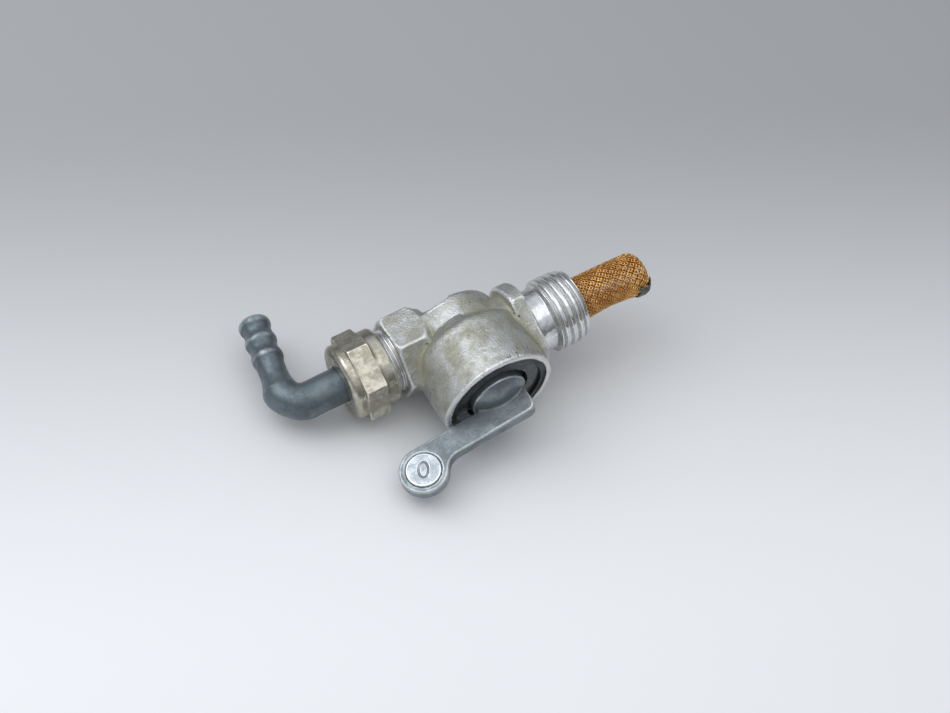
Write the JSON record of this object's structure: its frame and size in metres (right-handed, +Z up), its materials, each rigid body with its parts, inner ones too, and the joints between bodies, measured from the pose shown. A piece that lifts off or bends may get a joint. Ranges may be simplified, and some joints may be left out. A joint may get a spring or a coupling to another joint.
{
  "type": "fuel tap",
  "caption": "Fuel tap with a threaded tank inlet, a gauze strainer, a flat paddle lever that turns in front of a round valve drum, and a barbed hose elbow clamped by a union nut.",
  "frame": {"origin": "on the inlet axis, where the full inlet thread starts", "axes": "+X along the inlet axis towards the tank, -Y towards the lever, +Z up"},
  "size_m": [0.0741, 0.0461, 0.0216],
  "materials": {
    "cast_alloy": "rough cast, turned thread",
    "lever_zinc": "grey zinc casting, edges worn bright",
    "bright_disc": "fine ground",
    "nut_nickel": "dull nickel plate on brass",
    "elbow_zinc": "dark grey zinc casting",
    "gauze_bronze": "woven bronze wire",
    "solder": "dull grey solder",
    "ferrule_brass": "drawn brass",
    "dark_steel": "blackened steel",
    "spring_steel": "spring steel",
    "seal_rubber": "matt",
    "gasket_fibre": "fibre washer"
  },
  "bodies": {
    "body": {"tap_body": "cast_alloy", "seal_disc": "seal_rubber", "spring_washer": "spring_steel", "cover_plate": "dark_steel", "retaining_ring": "dark_steel", "union_nut": "nut_nickel", "elbow_gasket": "gasket_fibre", "outlet_elbow": "elbow_zinc", "strainer_ferrule": "ferrule_brass", "strainer_gauze": "gauze_bronze", "strainer_solder": "solder"},
    "lever": {"lever": "lever_zinc", "lever_disc": "bright_disc"}
  },
  "joints": [
    {"name": "lever_turn", "type": "hinge", "parent": "body", "child": "lever", "pos_m": [-0.01482, -0.0107, 0], "axis": [0, 1, 0], "range_deg": [-82, 98]}
  ]
}
